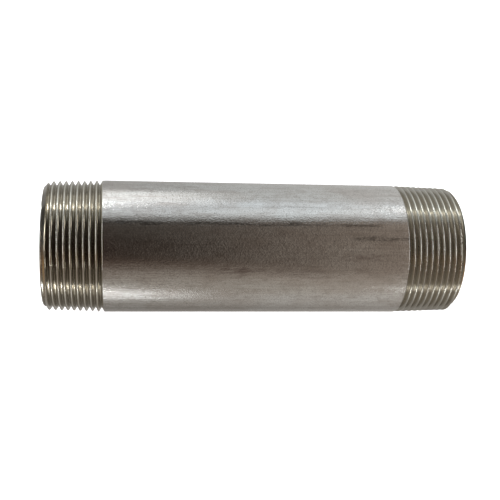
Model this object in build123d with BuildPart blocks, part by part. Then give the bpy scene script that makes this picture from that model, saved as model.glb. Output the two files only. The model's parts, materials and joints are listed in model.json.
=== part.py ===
"""Stainless steel pipe nipple: 1-1/2 inch nominal bore, 6 inches long, with a right-hand
taper pipe thread (11.5 threads per inch, 1 in 16 on the diameter) on each end.

The nipple is a single piece of welded pipe. Its axis is +X, and the origin is on that axis,
halfway along. Angles about the axis are measured from +Y towards +Z. Sizes are in
millimetres.
"""

import os
from math import atan, ceil, cos, degrees, radians, sqrt, tan

from build123d import *

INCH = 25.4

# Pipe: schedule 40, 1-1/2 inch nominal.
LENGTH = 6 * INCH
OUTSIDE_DIAMETER = 1.900 * INCH
WALL = 0.145 * INCH

# Taper pipe thread. The pitch diameter at the end of the pipe is the basic size less one
# turn, the slackest that the thread gauge passes.
PITCH = INCH / 11.5
TAPER = 1 / 16
BASIC_PITCH_DIAMETER = 1.79609 * INCH
FLANK_ANGLE = 30
ROOT_FLAT = 0.038 * PITCH
FULL_DEPTH_TURNS = 9.5

# Angles by which the two threads are turned about the axis, and how much further in the
# right one is cut.
LEFT_THREAD_START = -65
RIGHT_THREAD_START = 40
RIGHT_THREAD_SHIFT = 1.05

# Each end is turned to the thread's taper, from the full diameter where the thread stops,
# and its mouth has a 45 degree chamfer that comes down past the bottom of the thread.
TURNED_LENGTH = 21.4
CHAMFER_BELOW_ROOT = 0.15
BORE_CHAMFER = 0.5

# Flattened bead that the seam weld leaves along the bore.
BEAD_WIDTH = 3.2
BEAD_HEIGHT = 0.16
BEAD_ANGLE = -115

# Derived sizes.
HALF_LENGTH = LENGTH / 2
OUTSIDE_RADIUS = OUTSIDE_DIAMETER / 2
BORE_RADIUS = OUTSIDE_RADIUS - WALL
SLOPE = TAPER / 2
CONE_ANGLE = atan(SLOPE)
FLANK_SLOPE = tan(radians(FLANK_ANGLE))
SHARP_V_HEIGHT = PITCH / 2 / FLANK_SLOPE
ROOT_RADIUS_AT_END = (
    (BASIC_PITCH_DIAMETER - PITCH * TAPER) / 2 - SHARP_V_HEIGHT / 2 + ROOT_FLAT / 2 / FLANK_SLOPE
)
CREST_RADIUS_AT_END = OUTSIDE_RADIUS - TURNED_LENGTH * SLOPE
FACE_RADIUS = ROOT_RADIUS_AT_END - CHAMFER_BELOW_ROOT
MOUTH_CHAMFER = (CREST_RADIUS_AT_END - FACE_RADIUS) / (1 - SLOPE)

# Groove cutter. It starts one turn outside the pipe, stands clear of the crests, and is a
# little narrower than the pitch so that its turns stay apart. Past full depth it leaves the
# pipe in a straight line.
CUTTER_WIDTH = 0.975 * PITCH
CUTTER_HEIGHT = 2.8
FLANK_HEIGHT = (CUTTER_WIDTH - ROOT_FLAT) / 2 / FLANK_SLOPE
EXIT_LENGTH = sqrt((OUTSIDE_RADIUS + 1) ** 2 - ROOT_RADIUS_AT_END**2)

# The cutter is a right-hand helix, swept one turn at a time. A helix on a cone takes its
# pitch along the cone's side, which is a little longer than along the axis.
with BuildPart() as groove_cutter:
    for turn in range(-1, ceil(FULL_DEPTH_TURNS)):
        with BuildLine():
            path = Helix(
                pitch=PITCH / cos(CONE_ANGLE),
                height=min(1, FULL_DEPTH_TURNS - turn) * PITCH,
                radius=ROOT_RADIUS_AT_END + turn * PITCH * SLOPE,
                center=(-HALF_LENGTH + turn * PITCH, 0, 0),
                direction=(1, 0, 0),
                cone_angle=degrees(CONE_ANGLE),
            )
        with BuildSketch(Plane(origin=path @ 0, x_dir=(1, 0, 0), z_dir=path % 0)):
            with BuildLine():
                Polyline(
                    (-ROOT_FLAT / 2, 0),
                    (ROOT_FLAT / 2, 0),
                    (CUTTER_WIDTH / 2, FLANK_HEIGHT),
                    (CUTTER_WIDTH / 2, CUTTER_HEIGHT),
                    (-CUTTER_WIDTH / 2, CUTTER_HEIGHT),
                    (-CUTTER_WIDTH / 2, FLANK_HEIGHT),
                    close=True,
                )
            make_face()
        sweep(is_frenet=True)
    end_face = groove_cutter.faces().filter_by(GeomType.PLANE).sort_by_distance(path @ 1)[0]
    extrude(end_face, amount=EXIT_LENGTH)

with BuildPart() as pipe_nipple:
    with BuildSketch():
        with BuildLine():
            Polyline(
                (0, BORE_RADIUS),
                (0, OUTSIDE_RADIUS),
                (-HALF_LENGTH + TURNED_LENGTH, OUTSIDE_RADIUS),
                (-HALF_LENGTH + MOUTH_CHAMFER, CREST_RADIUS_AT_END + MOUTH_CHAMFER * SLOPE),
                (-HALF_LENGTH, FACE_RADIUS),
                (-HALF_LENGTH, BORE_RADIUS + BORE_CHAMFER),
                (-HALF_LENGTH + BORE_CHAMFER, BORE_RADIUS),
                close=True,
            )
        make_face()
        mirror(about=Plane.YZ)
    revolve(axis=Axis.X)
    with BuildSketch(Plane.YZ):
        with PolarLocations(BORE_RADIUS, 1, start_angle=BEAD_ANGLE):
            Ellipse(BEAD_HEIGHT, BEAD_WIDTH / 2)
    extrude(amount=HALF_LENGTH - BORE_CHAMFER, both=True)
    add(groove_cutter.part, rotation=(LEFT_THREAD_START, 0, 0), mode=Mode.SUBTRACT)
    with Locations((-RIGHT_THREAD_SHIFT, 0, 0)):
        add(groove_cutter.part, rotation=(RIGHT_THREAD_START, 0, 180), mode=Mode.SUBTRACT)

pipe_nipple.part.label = "pipe_nipple"

os.makedirs("parts", exist_ok=True)
export_step(pipe_nipple.part, "parts/pipe_nipple.step")
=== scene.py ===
"""Looks of the threaded pipe nipple: its finished mesh, steel, studio and camera."""

import json
from math import cos, pi, radians, sin, sqrt, tan

import bmesh
import bpy
from mathutils import Matrix, Vector, noise


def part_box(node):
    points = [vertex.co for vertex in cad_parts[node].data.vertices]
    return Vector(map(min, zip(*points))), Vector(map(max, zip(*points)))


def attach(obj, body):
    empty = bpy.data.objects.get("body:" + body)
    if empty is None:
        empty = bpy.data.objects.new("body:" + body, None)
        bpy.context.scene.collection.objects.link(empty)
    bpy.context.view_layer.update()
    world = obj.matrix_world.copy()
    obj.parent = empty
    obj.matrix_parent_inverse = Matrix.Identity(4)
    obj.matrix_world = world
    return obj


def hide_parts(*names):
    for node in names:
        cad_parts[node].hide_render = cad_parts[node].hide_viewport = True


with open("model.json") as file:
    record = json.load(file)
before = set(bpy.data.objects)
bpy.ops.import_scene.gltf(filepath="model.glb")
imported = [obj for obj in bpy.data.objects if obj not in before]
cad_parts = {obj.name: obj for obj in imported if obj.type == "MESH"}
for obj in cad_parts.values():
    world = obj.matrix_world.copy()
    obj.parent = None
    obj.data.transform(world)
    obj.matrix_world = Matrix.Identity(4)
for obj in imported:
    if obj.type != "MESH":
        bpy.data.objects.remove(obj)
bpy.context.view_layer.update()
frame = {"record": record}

MM = 0.001
mounts = {mount["name"]: mount for mount in frame["record"]["mounts"]}
HALF_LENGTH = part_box("pipe_nipple")[1][0]
BARREL_RADIUS = mounts["barrel"]["dims"]["r_mm"] * MM
BORE_RADIUS = mounts["bore"]["dims"]["r_mm"] * MM
TURNED_LENGTH = mounts["left_thread"]["dims"]["length_mm"] * MM
RIGHT_SHIFT = mounts["right_thread"]["dims"]["length_mm"] * MM - TURNED_LENGTH

# Thread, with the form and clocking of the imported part. Angles are in degrees about the
# pipe's axis, from +Y towards +Z. The right thread is cut a little further in.
PITCH = 25.4 / 11.5 * MM
SLOPE = 1 / 32
THREAD_HEIGHT = 1.604 * MM
FLANK_SLOPE = tan(radians(30))
ROOT_HALF_FLAT = 0.019 * PITCH
CREST_ROUNDING = 0.2 * MM
CREST_WEAR = 0.006 * MM
WEAR_CELLS_OUT = 6
WEAR_CELLS_PER_TURN = 4
FULL_DEPTH_TURNS = 9.5
LEFT_START = 25
RIGHT_START = 130

# Mouth of the pipe.
FACE_RADIUS = 21.708 * MM
BORE_CHAMFER = 0.5 * MM
EDGE_BREAK = 0.06 * MM

# Bead that the seam weld leaves along the bore.
BEAD_WIDTH = 3.2 * MM
BEAD_HEIGHT = 0.16 * MM
BEAD_ANGLE = -115

# Gritty dark lines along the barrel, as (angle, half width, from, to, strength).
LINES = [
    (70, 0.5 * MM, -60 * MM, 45 * MM, 0.75),
    (82, 0.5 * MM, 32 * MM, 60 * MM, 0.7),
    (53, 0.15 * MM, 0, 48 * MM, 0.45),
]
LINE_FADE = 4 * MM

# Soft smudges on the barrel, as (place along it, angle, half length, half width, strength).
SMUDGES = [
    (-7 * MM, 110, 7 * MM, 2.0 * MM, 0.7),
    (37 * MM, 98, 7 * MM, 1.4 * MM, 0.5),
    (15 * MM, 112, 12 * MM, 3.0 * MM, 0.3),
]

# Fineness of the mesh.
ROWS = 288
STEP = 360 / ROWS
CLAMP_OUTER = -0.5 * PITCH
CLAMP_INNER = 10.6 * PITCH
SNAP = 0.02 * MM
SHARP_ANGLE = 38
NARROWEST_GROOVE = 0.1
FIRST_GROOVE = -2
LAST_GROOVE = 10
BARREL_SPANS = 40
BORE_SPANS = 24
TUBE_RADIUS = BARREL_RADIUS + 1.0 * MM


def on_circle(x, radius, degrees):
    """The point at that place along the axis, that far from it, at that angle."""
    return (x, radius * cos(radians(degrees)), radius * sin(radians(degrees)))


def crest_radius(s):
    """Radius over the crests at a distance s in from the end of the pipe."""
    return BARREL_RADIUS - max(0.0, TURNED_LENGTH - s) * SLOPE


def groove_profile():
    """One groove, as (offset along the axis, drop below the crest), from the crest outside it."""
    half_width = ROOT_HALF_FLAT + THREAD_HEIGHT * FLANK_SLOPE
    corner = half_width + CREST_ROUNDING * FLANK_SLOPE
    inner_side = []
    for height in (0, THREAD_HEIGHT / 2):
        inner_side.append((ROOT_HALF_FLAT + height * FLANK_SLOPE, THREAD_HEIGHT - height))
    for degrees in (150, 120, 90):
        along = CREST_ROUNDING * cos(radians(degrees))
        above = CREST_ROUNDING * sin(radians(degrees))
        inner_side.append((corner + along, CREST_ROUNDING - above))
    outer_side = [(-offset, drop) for offset, drop in reversed(inner_side)]
    return [(-PITCH / 2, 0.0)] + outer_side + inner_side


def depth_share(turns):
    """Depth of the groove, from 1 down to 0 where the tool leaves the pipe in a straight line."""
    angle = (turns - FULL_DEPTH_TURNS) * 2 * pi
    if angle <= 0:
        return 1.0
    if angle >= pi / 4:
        return 0.0
    rise = (BARREL_RADIUS - THREAD_HEIGHT) * (1 / cos(angle) - 1)
    return max(0.0, 1 - rise / THREAD_HEIGHT)


def thread_rows(shift, seed):
    """For each step round the thread, its points as (s, radius) from the mouth to the barrel.

    The shift is how much further in the thread is cut, and the seed tells its wear apart.
    """
    profile = groove_profile()
    rows = []
    for i in range(ROWS):
        row = []
        for groove in range(FIRST_GROOVE, LAST_GROOVE + 1):
            turns = groove + i / ROWS
            share = depth_share(turns)
            angle = turns * 2 * pi
            along = WEAR_CELLS_PER_TURN * turns + seed
            spot = Vector((WEAR_CELLS_OUT * cos(angle), WEAR_CELLS_OUT * sin(angle), along))
            wear = CREST_WEAR * (0.5 + 0.5 * noise.noise(spot))
            for offset, drop in profile:
                narrowing = 1 if offset == -PITCH / 2 else max(share, NARROWEST_GROOVE)
                s = shift + turns * PITCH + offset * narrowing
                if s < CLAMP_OUTER + SNAP:
                    row.append((CLAMP_OUTER, crest_radius(CLAMP_OUTER)))
                elif s > CLAMP_INNER - SNAP:
                    row.append((CLAMP_INNER, BARREL_RADIUS))
                else:
                    depth = max(drop, wear if s < TURNED_LENGTH else 0) * share
                    row.append((s, crest_radius(s) - depth))
        row.append((CLAMP_INNER, BARREL_RADIUS))
        rows.append(row)
    return rows, len(profile)


def add_face(faces, corners):
    """Adds a face, leaving out corners that fall together."""
    kept = [v for n, v in enumerate(corners) if v != corners[n - 1]]
    if len(kept) >= 3:
        faces.append(kept)


def add_thread(points, faces, side, start, shift, seed):
    """Adds the thread at -X (side -1) or +X (side 1). Returns its last ring, by step about the axis."""
    rows, per_groove = thread_rows(shift, seed)
    indices = []
    inner_ring = {}
    outer_ring = []
    for i, row in enumerate(rows):
        degrees = start - side * i * STEP
        numbers = []
        for s, radius in row:
            fresh = not numbers or s not in (CLAMP_OUTER, CLAMP_INNER) or s != last_s
            if fresh:
                points.append(on_circle(side * (HALF_LENGTH - s), radius, degrees))
            numbers.append(len(points) - 1)
            last_s = s
        indices.append(numbers)
        outer_ring.append(numbers[0])
        inner_ring[round(degrees / STEP) % ROWS] = numbers[-1]
    columns = len(rows[0])
    for i in range(ROWS):
        for c in range(columns - 1):
            if i < ROWS - 1:
                ahead = (indices[i + 1][c], indices[i + 1][c + 1])
            else:
                shifted = (min(c + per_groove, columns - 1), min(c + 1 + per_groove, columns - 1))
                ahead = (indices[0][shifted[0]], indices[0][shifted[1]])
            add_face(faces, [indices[i][c], indices[i][c + 1], ahead[1], ahead[0]])
    faces.append(outer_ring)
    return [inner_ring[i] for i in range(ROWS)]


def join_rings(faces, first, second):
    """Adds a band of faces between two rings of points."""
    for i in range(ROWS):
        faces.append([first[i - 1], first[i], second[i], second[i - 1]])


def mesh_object(name, points, faces):
    """An object with that mesh, its faces turned outwards."""
    mesh = bpy.data.meshes.new(name)
    mesh.from_pydata(points, [], faces)
    work = bmesh.new()
    work.from_mesh(mesh)
    bmesh.ops.recalc_face_normals(work, faces=work.faces)
    work.to_mesh(mesh)
    work.free()
    piece = bpy.data.objects.new(name, mesh)
    bpy.context.scene.collection.objects.link(piece)
    return piece


def solid_rod():
    """Threads and barrel as one closed rod, with the threads running on past both mouths."""
    points, faces = [], []
    left = add_thread(points, faces, side=-1, start=LEFT_START, shift=0, seed=0)
    right = add_thread(points, faces, side=1, start=RIGHT_START, shift=RIGHT_SHIFT, seed=50)
    ring = left
    for span in range(1, BARREL_SPANS):
        x = (HALF_LENGTH - CLAMP_INNER) * (2 * span / BARREL_SPANS - 1)
        first = len(points)
        for i in range(ROWS):
            points.append(on_circle(x, BARREL_RADIUS, i * STEP))
        new_ring = list(range(first, first + ROWS))
        join_rings(faces, ring, new_ring)
        ring = new_ring
    join_rings(faces, ring, right)
    return mesh_object("rod", points, faces)


def bore_radius(degrees):
    """Radius of the bore at that angle, less on the seam's bead."""
    from_seam = (degrees - BEAD_ANGLE + 180) % 360 - 180
    across = radians(from_seam) * BORE_RADIUS / (BEAD_WIDTH / 2)
    return BORE_RADIUS - BEAD_HEIGHT * sqrt(max(0.0, 1 - across**2))


def tube_blank():
    """The turned mouths and the bore as one closed tube, wider than the barrel outside."""
    mouth = [
        (0, FACE_RADIUS - EDGE_BREAK),
        (EDGE_BREAK, FACE_RADIUS + EDGE_BREAK / 2),
        (TUBE_RADIUS - FACE_RADIUS, TUBE_RADIUS),
    ]
    outline = [(-HALF_LENGTH + s, radius) for s, radius in mouth]
    outline += [(HALF_LENGTH - s, radius) for s, radius in reversed(mouth)]
    points, faces = [], []
    rings = []

    def add_ring(x, radius_at):
        """Adds a ring of points at a place along the axis, with a radius for each angle."""
        first = len(points)
        for i in range(ROWS):
            points.append(on_circle(x, radius_at(i * STEP), i * STEP))
        rings.append(list(range(first, first + ROWS)))

    for x, radius in outline:
        add_ring(x, lambda degrees, r=radius: r)
    add_ring(HALF_LENGTH, lambda degrees: BORE_RADIUS + BORE_CHAMFER)
    bore_end = HALF_LENGTH - BORE_CHAMFER
    for span in range(BORE_SPANS + 1):
        add_ring(bore_end * (1 - 2 * span / BORE_SPANS), bore_radius)
    add_ring(-HALF_LENGTH, lambda degrees: BORE_RADIUS + BORE_CHAMFER)
    for n, ring in enumerate(rings):
        join_rings(faces, rings[n - 1], ring)
    return mesh_object("tube", points, faces)


def finished_mesh():
    """The rod with its bore and mouths cut, as one clean closed mesh."""
    rod = solid_rod()
    tube = tube_blank()
    cut = rod.modifiers.new("bore_and_mouths", "BOOLEAN")
    cut.operation = "INTERSECT"
    cut.object = tube
    cut.solver = "MANIFOLD"
    depsgraph = bpy.context.evaluated_depsgraph_get()
    mesh = bpy.data.meshes.new_from_object(rod.evaluated_get(depsgraph))
    bpy.data.objects.remove(rod)
    bpy.data.objects.remove(tube)
    return mesh


def shade(mesh):
    """Smooth faces with crisp edges, and normals that follow the larger faces."""
    for polygon in mesh.polygons:
        polygon.use_smooth = True
    mesh.set_sharp_from_angle(angle=radians(SHARP_ANGLE))
    piece = bpy.data.objects.new("nipple", mesh)
    bpy.context.scene.collection.objects.link(piece)
    weighted = piece.modifiers.new("weighted_normals", "WEIGHTED_NORMAL")
    weighted.keep_sharp = True
    weighted.weight = 50
    depsgraph = bpy.context.evaluated_depsgraph_get()
    finished = bpy.data.meshes.new_from_object(piece.evaluated_get(depsgraph))
    piece.modifiers.clear()
    piece.data = finished
    return piece


def add_node(tree, kind, inputs=None, **settings):
    """A node of that kind, with its settings made and its inputs set or linked."""
    new = tree.nodes.new(kind)
    for name, value in settings.items():
        setattr(new, name, value)
    for name, value in (inputs or {}).items():
        if isinstance(value, bpy.types.NodeSocket):
            tree.links.new(value, new.inputs[name])
        else:
            new.inputs[name].default_value = value
    return new


def blend(tree, share, first, second, mode="MIX"):
    """The colour that mixes two colours by a share."""
    new = add_node(tree, "ShaderNodeMix", data_type="RGBA", blend_type=mode)
    for socket, value in zip((new.inputs[0], new.inputs[6], new.inputs[7]), (share, first, second)):
        if isinstance(value, bpy.types.NodeSocket):
            tree.links.new(value, socket)
        elif isinstance(value, tuple):
            socket.default_value = (*value, 1)
        else:
            socket.default_value = value
    return new.outputs[2]


def spread(tree, value, low, high, to_low=0.0, to_high=1.0):
    """The value taken from one range to another, and held at its ends."""
    inputs = {"Value": value, "From Min": low, "From Max": high, "To Min": to_low, "To Max": to_high}
    return add_node(tree, "ShaderNodeMapRange", inputs).outputs["Result"]


def calc(tree, first, second, operation="ADD"):
    """The sum of two values, or the result of another operation on them."""
    return add_node(tree, "ShaderNodeMath", {0: first, 1: second}, operation=operation).outputs[0]


def unsigned(tree, value):
    """The value without its sign."""
    return add_node(tree, "ShaderNodeMath", {0: value}, operation="ABSOLUTE").outputs[0]


def vector_calc(tree, operation, first, second=(0, 0, 0)):
    """The outputs of an operation on one or two vectors."""
    return add_node(tree, "ShaderNodeVectorMath", {0: first, 1: second}, operation=operation).outputs


def place_on_pipe(tree):
    """The place on the pipe, as a vector and as its separate X, Y and Z."""
    where = add_node(tree, "ShaderNodeTexCoord").outputs["Object"]
    return where, add_node(tree, "ShaderNodeSeparateXYZ", {0: where}).outputs


def out_from_axis(tree, xyz):
    """The way out from the pipe's axis to the place, and its length, which is the radius there."""
    outward = add_node(tree, "ShaderNodeCombineXYZ", {"Y": xyz["Y"], "Z": xyz["Z"]}).outputs[0]
    return outward, vector_calc(tree, "LENGTH", outward)["Value"]


def along_axis(tree, per_mm):
    """Coordinates with that many noise cells per millimetre, as (along the pipe, across it)."""
    where = place_on_pipe(tree)[0]
    scale = (per_mm[0] / MM, per_mm[1] / MM, per_mm[1] / MM)
    return add_node(tree, "ShaderNodeMapping", {"Vector": where, "Scale": scale}).outputs["Vector"]


def noise_at(tree, spot, detail, distortion=0.0):
    """Noise with one cell per unit of those coordinates."""
    inputs = {"Vector": spot, "Scale": 1.0, "Detail": detail, "Distortion": distortion}
    return add_node(tree, "ShaderNodeTexNoise", inputs).outputs["Fac"]


def cloud(tree, per_mm, detail=2.0, distortion=0.0):
    """Noise with that many cells per millimetre along the pipe and across it."""
    return noise_at(tree, along_axis(tree, per_mm), detail, distortion)


def lathe_marks(tree, per_mm):
    """Noise in fine lines that run round the pipe and along the thread."""
    xyz = place_on_pipe(tree)[1]
    outward, radius = out_from_axis(tree, xyz)
    turn = vector_calc(tree, "NORMALIZE", outward)["Vector"]
    turn = add_node(tree, "ShaderNodeSeparateXYZ", {0: turn}).outputs
    advance = calc(tree, calc(tree, xyz["Y"], xyz["Z"], "ARCTAN2"), PITCH / 2 / pi, "MULTIPLY")
    across = calc(tree, calc(tree, xyz["X"], radius), advance)
    inputs = {"X": calc(tree, across, per_mm / MM, "MULTIPLY"), "Y": turn["Y"], "Z": turn["Z"]}
    return noise_at(tree, add_node(tree, "ShaderNodeCombineXYZ", inputs).outputs[0], 3.0)


def groove_film_and_shade(tree):
    """Share of painted shade and brown oil film in the thread's grooves, from 0 at the crests and more
    the deeper they go, with none on the mouth.
    """
    xyz = place_on_pipe(tree)[1]
    radius = out_from_axis(tree, xyz)[1]
    from_end = calc(tree, HALF_LENGTH, unsigned(tree, xyz["X"]), "SUBTRACT")
    crest = calc(tree, calc(tree, from_end, SLOPE, "MULTIPLY"), crest_radius(0))
    film_and_shade = spread(tree, calc(tree, crest, radius, "SUBTRACT"), 0.1 * MM, 1.0 * MM)
    return calc(tree, film_and_shade, spread(tree, from_end, 0.8 * MM, 2.2 * MM), "MULTIPLY")


def metal(name):
    """A bare metal material. Returns it with its node tree and its shader."""
    material = bpy.data.materials.new(name)
    material.use_nodes = True
    tree = material.node_tree
    shader = tree.nodes["Principled BSDF"]
    shader.inputs["Metallic"].default_value = 1
    return material, tree, shader


def finish_metal(tree, shader, colour, roughness, heights):
    """Gives the shader its colour, roughness and bumps, as (height, distance in mm) in turn."""
    tree.links.new(colour, shader.inputs["Base Color"])
    tree.links.new(roughness, shader.inputs["Roughness"])
    inputs = {}
    for height, distance in heights:
        inputs.update({"Height": height, "Distance": distance * MM})
        bump = add_node(tree, "ShaderNodeBump", inputs)
        inputs = {"Normal": bump.outputs["Normal"]}
    tree.links.new(bump.outputs["Normal"], shader.inputs["Normal"])


def beside(tree, angle):
    """Distance sideways from the line along the pipe at that angle, and 1 on that side of the pipe."""
    where = place_on_pipe(tree)[0]
    outward = on_circle(0, 1, angle)
    sideways = on_circle(0, 1, angle + 90)
    offset = vector_calc(tree, "DOT_PRODUCT", where, sideways)["Value"]
    facing = vector_calc(tree, "DOT_PRODUCT", where, outward)["Value"]
    return offset, spread(tree, facing, 0, BORE_RADIUS)


def dark_line(tree, angle, half_width, first, last, strength):
    """Share of grime on the specks of one dark line along the barrel, and 0 away from it."""
    offset, facing = beside(tree, angle)
    x = place_on_pipe(tree)[1]["X"]
    ragged = spread(tree, cloud(tree, (0.12, 0.9), 3.0), 0.3, 0.7, -half_width, half_width)
    distance = unsigned(tree, calc(tree, offset, ragged))
    core = spread(tree, distance, 0.5 * half_width, 1.4 * half_width, 1, 0)
    core = calc(tree, core, spread(tree, cloud(tree, (1.0, 2.2), 3.0), 0.34, 0.52), "MULTIPLY")
    fringe = spread(tree, distance, half_width, 4 * half_width, 0.7, 0)
    fringe = calc(tree, fringe, spread(tree, cloud(tree, (1.8, 2.2), 2.0), 0.5, 0.62), "MULTIPLY")
    grime = calc(tree, core, fringe, "MAXIMUM")
    gaps = spread(tree, cloud(tree, (0.05, 0.1), 2.0), 0.3, 0.48, 0.25, 1)
    start = spread(tree, x, first, first + LINE_FADE)
    end = spread(tree, x, last - LINE_FADE, last, 1, 0)
    for share in (facing, gaps, start, end, strength):
        grime = calc(tree, grime, share, "MULTIPLY")
    return grime


def smudge(tree, centre, angle, half_length, half_width, strength):
    """Share of grime in one soft ragged smudge on the barrel."""
    offset, facing = beside(tree, angle)
    x = place_on_pipe(tree)[1]["X"]
    along = calc(tree, calc(tree, x, centre, "SUBTRACT"), half_length, "DIVIDE")
    across = calc(tree, offset, half_width, "DIVIDE")
    spot = add_node(tree, "ShaderNodeCombineXYZ", {"X": along, "Y": across}).outputs[0]
    distance = vector_calc(tree, "LENGTH", spot)["Value"]
    ragged = spread(tree, cloud(tree, (0.25, 0.8), 4.0), 0.35, 0.65, -0.5, 0.5)
    share = spread(tree, calc(tree, distance, ragged), 0.2, 1.1, strength, 0)
    return calc(tree, share, facing, "MULTIPLY")


def drawn_steel():
    """Barrel: pickled pipe, gritty and streaked along its length, with pale and brownish patches."""
    material, tree, shader = metal("drawn_steel")
    grit = cloud(tree, (2.2, 2.6), 3.0)
    pebbles = cloud(tree, (1.0, 1.4), 2.0)
    streaks = cloud(tree, (0.035, 2.6), 4.0)
    bands = cloud(tree, (0.012, 0.25), 3.0, 0.4)
    patches = cloud(tree, (0.035, 0.07), 4.0, 0.8)
    scale = cloud(tree, (0.08, 0.4), 6.0, 0.6)
    mottling = cloud(tree, (0.3, 0.45), 5.0, 0.3)
    colour = blend(tree, spread(tree, patches, 0.36, 0.64), (0.52, 0.485, 0.455), (0.62, 0.61, 0.59))
    for marks, low, high, most, tint in (
        (scale, 0.55, 0.72, 0.45, (0.34, 0.295, 0.265)),
        (mottling, 0.48, 0.66, 0.4, (0.38, 0.345, 0.315)),
        (streaks, 0.42, 0.7, 0.4, (0.36, 0.33, 0.305)),
        (grit, 0.5, 0.68, 0.6, (0.27, 0.25, 0.23)),
    ):
        colour = blend(tree, spread(tree, marks, low, high, 0, most), colour, tint)
    for spot in SMUDGES:
        colour = blend(tree, smudge(tree, *spot), colour, (0.25, 0.205, 0.19))
    for line in LINES:
        colour = blend(tree, dark_line(tree, *line), colour, (0.11, 0.10, 0.09))
    rough = spread(tree, patches, 0.35, 0.65, 0.15, 0.09)
    rough = calc(tree, rough, spread(tree, bands, 0.4, 0.6, 0, 0.05))
    rough = calc(tree, rough, spread(tree, streaks, 0.3, 0.7, 0, 0.04))
    finish_metal(tree, shader, colour, rough, [(grit, 0.036), (pebbles, 0.035), (streaks, 0.012)])
    return material


def turned_steel():
    """Threads and chamfers: cut bright, with fine tool marks, and painted shade with brown oil film in
    the grooves.
    """
    material, tree, shader = metal("turned_steel")
    marks = lathe_marks(tree, 5.0)
    film_and_shade = cloud(tree, (0.25, 0.06), 3.0)
    colour = blend(tree, spread(tree, film_and_shade, 0.38, 0.62), (0.56, 0.54, 0.49), (0.50, 0.465, 0.405))
    # Painted shade in the grooves, darker the deeper below the crests, in the brown of an oil film.
    colour = blend(tree, calc(tree, groove_film_and_shade(tree), 0.6, "MULTIPLY"), colour, (0.36, 0.33, 0.275))
    colour = blend(tree, spread(tree, marks, 0.5, 0.75, 0, 0.35), colour, (0.40, 0.37, 0.33))
    rough = spread(tree, film_and_shade, 0.35, 0.65, 0.10, 0.16)
    rough = calc(tree, rough, spread(tree, marks, 0.3, 0.7, 0, 0.06))
    finish_metal(tree, shader, colour, rough, [(marks, 0.004)])
    return material


def bore_steel():
    """Bore: dull pickled grey, with a straw and blue heat tint beside the seam's bead."""
    material, tree, shader = metal("bore_steel")
    grit = cloud(tree, (0.9, 1.4), 3.0)
    patches = cloud(tree, (0.03, 0.09), 4.0, 0.6)
    colour = blend(tree, spread(tree, patches, 0.36, 0.64), (0.42, 0.395, 0.37), (0.53, 0.515, 0.495))
    offset, facing = beside(tree, BEAD_ANGLE)
    offset = unsigned(tree, offset)
    straw = spread(tree, offset, BEAD_WIDTH, 3 * BEAD_WIDTH, 0.6, 0)
    blue = spread(tree, offset, 0.5 * BEAD_WIDTH, 1.2 * BEAD_WIDTH, 0.7, 0)
    colour = blend(tree, calc(tree, straw, facing, "MULTIPLY"), colour, (0.50, 0.41, 0.27))
    colour = blend(tree, calc(tree, blue, facing, "MULTIPLY"), colour, (0.30, 0.33, 0.40))
    rough = spread(tree, patches, 0.3, 0.7, 0.5, 0.36)
    finish_metal(tree, shader, colour, rough, [(grit, 0.02)])
    return material


BARREL, TURNED, BORE = 0, 1, 2


def surface_of(centre):
    """Which finish a face has, from its centre."""
    radius = sqrt(centre.y**2 + centre.z**2)
    from_end = HALF_LENGTH - abs(centre.x)
    if radius < BORE_RADIUS + SNAP and from_end > BORE_CHAMFER:
        return BORE
    if from_end < TURNED_LENGTH or radius < BARREL_RADIUS - SNAP:
        return TURNED
    return BARREL


nipple = shade(finished_mesh())
nipple.data.materials.clear()
for material in (drawn_steel(), turned_steel(), bore_steel()):
    nipple.data.materials.append(material)
for polygon in nipple.data.polygons:
    polygon.material_index = surface_of(polygon.center)
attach(nipple, "root")
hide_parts("pipe_nipple")


# Studio. The steel mirrors the room. Each list has the room's colours by direction, as
# (share of the way, (red, green, blue)), from -Y to +Y and for FAR_SIDE towards +X.
LIGHT_COLOUR = (0.94, 0.98, 1.0)
CEILING = [
    (0.03, (0.44, 0.41, 0.37)),
    (0.10, (0.39, 0.35, 0.31)),
    (0.24, (0.13, 0.095, 0.075)),
    (0.36, (0.035, 0.02, 0.013)),
    (0.5, (0.036, 0.023, 0.017)),
    (0.64, (0.06, 0.05, 0.043)),
    (0.84, (0.09, 0.08, 0.07)),
    (0.88, (0.30, 0.31, 0.31)),
    (0.925, (0.97, 1.04, 1.08)),
    (1.0, (0.78, 0.84, 0.89)),
]
FAR_SIDE = [
    (0.1, (0, 0, 0)),
    (0.3, (0.06, 0.05, 0.043)),
    (0.45, (0.12, 0.102, 0.088)),
    (0.7, (0.25, 0.215, 0.185)),
    (0.9, (0.33, 0.285, 0.245)),
]
WALLS = [
    (0.0, (0.52, 0.50, 0.47)),
    (0.15, (0.30, 0.285, 0.265)),
    (0.5, (0.40, 0.39, 0.37)),
    (1.0, (0.66, 0.685, 0.69)),
]
SHOULDERS = [
    (0.0, (0.50, 0.48, 0.46)),
    (0.25, (0.26, 0.245, 0.23)),
    (0.36, (0.28, 0.22, 0.16)),
    (0.48, (0.13, 0.12, 0.11)),
    (0.6, (0.15, 0.145, 0.14)),
    (0.72, (0.26, 0.255, 0.25)),
    (0.85, (0.50, 0.52, 0.53)),
    (1.0, (0.62, 0.65, 0.66)),
]
ENDS = [
    (0.2, (0.2, 0.18, 0.16)),
    (0.37, (0.4, 0.26, 0.14)),
    (0.44, (0.13, 0.08, 0.045)),
    (0.52, (0.045, 0.04, 0.036)),
    (0.7, (0.06, 0.056, 0.05)),
]


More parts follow.
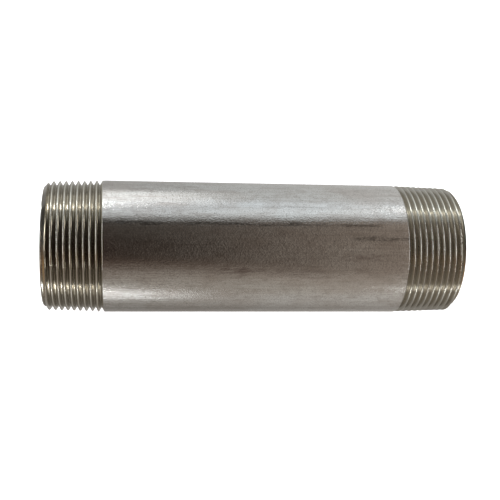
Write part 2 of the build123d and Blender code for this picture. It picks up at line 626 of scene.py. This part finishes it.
def floor():
    """A wide pale floor that the pipe lies on. The steel mirrors the room instead of it."""
    size = 6.0
    z = -BARREL_RADIUS
    corners = [(-size, -size, z), (size, -size, z), (size, size, z), (-size, size, z)]
    mesh = bpy.data.meshes.new("floor")
    mesh.from_pydata(corners, [], [(0, 1, 2, 3)])
    piece = bpy.data.objects.new("floor", mesh)
    bpy.context.scene.collection.objects.link(piece)
    piece.visible_glossy = False
    piece.visible_shadow = False
    material = bpy.data.materials.new("floor_white")
    material.use_nodes = True
    shader = material.node_tree.nodes["Principled BSDF"]
    shader.inputs["Base Color"].default_value = (0.9, 0.9, 0.9, 1)
    shader.inputs["Roughness"].default_value = 0.9
    shader.inputs["Specular IOR Level"].default_value = 0
    shader.inputs["Emission Color"].default_value = (1, 1, 1, 1)
    shader.inputs["Emission Strength"].default_value = 0.85
    mesh.materials.append(material)


def softbox(name, place, target, width, height, strength, spread_angle=180):
    """A rectangular light that faces a target, both in metres, and shines within that angle."""
    data = bpy.data.lights.new(name, "AREA")
    data.shape = "RECTANGLE"
    data.size = width
    data.size_y = height
    data.energy = strength * width * height * pi
    data.spread = radians(spread_angle)
    data.color = LIGHT_COLOUR
    lamp = bpy.data.objects.new(name, data)
    lamp.location = place
    lamp.rotation_mode = "QUATERNION"
    lamp.rotation_quaternion = (Vector(place) - Vector(target)).to_track_quat("Z", "X")
    lamp.visible_camera = False
    bpy.context.scene.collection.objects.link(lamp)


def camera():
    """Straight above the nipple, over its left half, turned a little to the right, in radians."""
    distance = 0.3393
    left_of_middle = 0.0468
    turn, tilt, roll = 0.1356, -0.0028, 0.0096
    ahead = Vector((sin(turn), sin(tilt), -cos(turn))).normalized()
    right = Vector((cos(turn), 0, sin(turn)))
    up = right.cross(ahead)
    right, up = right * cos(roll) + up * sin(roll), up * cos(roll) - right * sin(roll)
    data = bpy.data.cameras.new("camera")
    data.sensor_width = 36
    data.lens = 65.45
    lens = bpy.data.objects.new("camera", data)
    turned = Matrix((right, up, -ahead)).transposed().to_4x4()
    lens.matrix_world = Matrix.Translation((-left_of_middle, 0, distance)) @ turned
    bpy.context.scene.collection.objects.link(lens)
    bpy.context.scene.camera = lens


def ramp(tree, value, stops):
    """The colour at that value, from (position, (red, green, blue)) stops."""
    new = add_node(tree, "ShaderNodeValToRGB", {"Fac": value})
    elements = new.color_ramp.elements
    while len(elements) < len(stops):
        elements.new(0.5)
    for element, (position, colour) in zip(elements, stops):
        element.position = position
        element.color = (*colour, 1)
    return new.outputs["Color"]


def room():
    """A plain room: brownish dark overhead, with a pale wall at +Y and a dimmer one at -Y.

    Towards both ends of the pipe it turns grey, and darker again at the very ends.
    """
    world = bpy.data.worlds.new("room")
    world.use_nodes = True
    tree = world.node_tree
    where = add_node(tree, "ShaderNodeTexCoord").outputs["Generated"]
    split = add_node(tree, "ShaderNodeSeparateXYZ", {0: where}).outputs
    across = spread(tree, split["Y"], -1, 1)
    far_side = ramp(tree, spread(tree, split["X"], -0.1, 0.4), FAR_SIDE)
    ceiling = blend(tree, 1.0, ramp(tree, across, CEILING), far_side, "LIGHTEN")
    walls = ramp(tree, across, WALLS)
    seen = blend(tree, spread(tree, split["Z"], -0.1, 0.1), walls, ceiling)
    sideways = unsigned(tree, split["X"])
    shoulders = ramp(tree, across, SHOULDERS)
    seen = blend(tree, spread(tree, sideways, 0.45, 0.55), seen, shoulders)
    ends = ramp(tree, across, ENDS)
    seen = blend(tree, spread(tree, sideways, 0.74, 0.8), seen, ends)
    gain = spread(tree, split["X"], 0.05, 0.3, 1.0, 1.35)
    seen = add_node(tree, "ShaderNodeVectorMath", {0: seen, 3: gain}, operation="SCALE").outputs[0]
    from_camera = add_node(tree, "ShaderNodeLightPath").outputs["Is Camera Ray"]
    seen = blend(tree, from_camera, seen, (1.0, 1.0, 1.0))
    tree.links.new(seen, tree.nodes["Background"].inputs["Color"])
    bpy.context.scene.world = world


floor()
room()
softbox("upper_side", (-0.3, 0.8, 0.16), (-0.3, 0, 0), 0.26, 0.2, 4.2)
softbox("upper_left", (-0.2, 0.78, 0.19), (-0.2, 0, 0), 0.12, 0.1, 22)
softbox("upper_glow", (-0.26, 0.85, -0.06), (-0.26, 0, 0), 0.46, 0.6, 1.0)
softbox("upper_right", (0.42, 0.8, 0.22), (0.42, 0, 0), 0.12, 0.1, 7)
softbox("lower_side", (-0.22, -0.8, 0.08), (-0.22, 0, 0), 0.36, 0.11, 3.2)
softbox("lower_left", (-0.2, -0.78, 0.11), (-0.2, 0, 0), 0.1, 0.08, 27)
softbox("lower_glow", (-0.14, -0.85, -0.02), (-0.14, 0, 0), 0.34, 0.3, 0.9)
softbox("lower_right", (0.42, -0.8, 0.12), (0.42, 0, 0), 0.12, 0.08, 8)
softbox("left_end", (-0.2, 0.05, 0.1), (-0.19, 0.05, 0), 0.02, 0.3, 20, 138)
softbox("right_end", (0.2, 0.05, 0.1), (0.19, 0.05, 0), 0.025, 0.3, 16, 138)
softbox("far_left", (-0.8, 0.08, 0.12), (0, 0, 0), 0.25, 0.45, 1.5)
softbox("far_right", (0.8, 0.08, 0.12), (0, 0, 0), 0.25, 0.45, 2)
camera()
bpy.context.scene.view_settings.view_transform = "Standard"
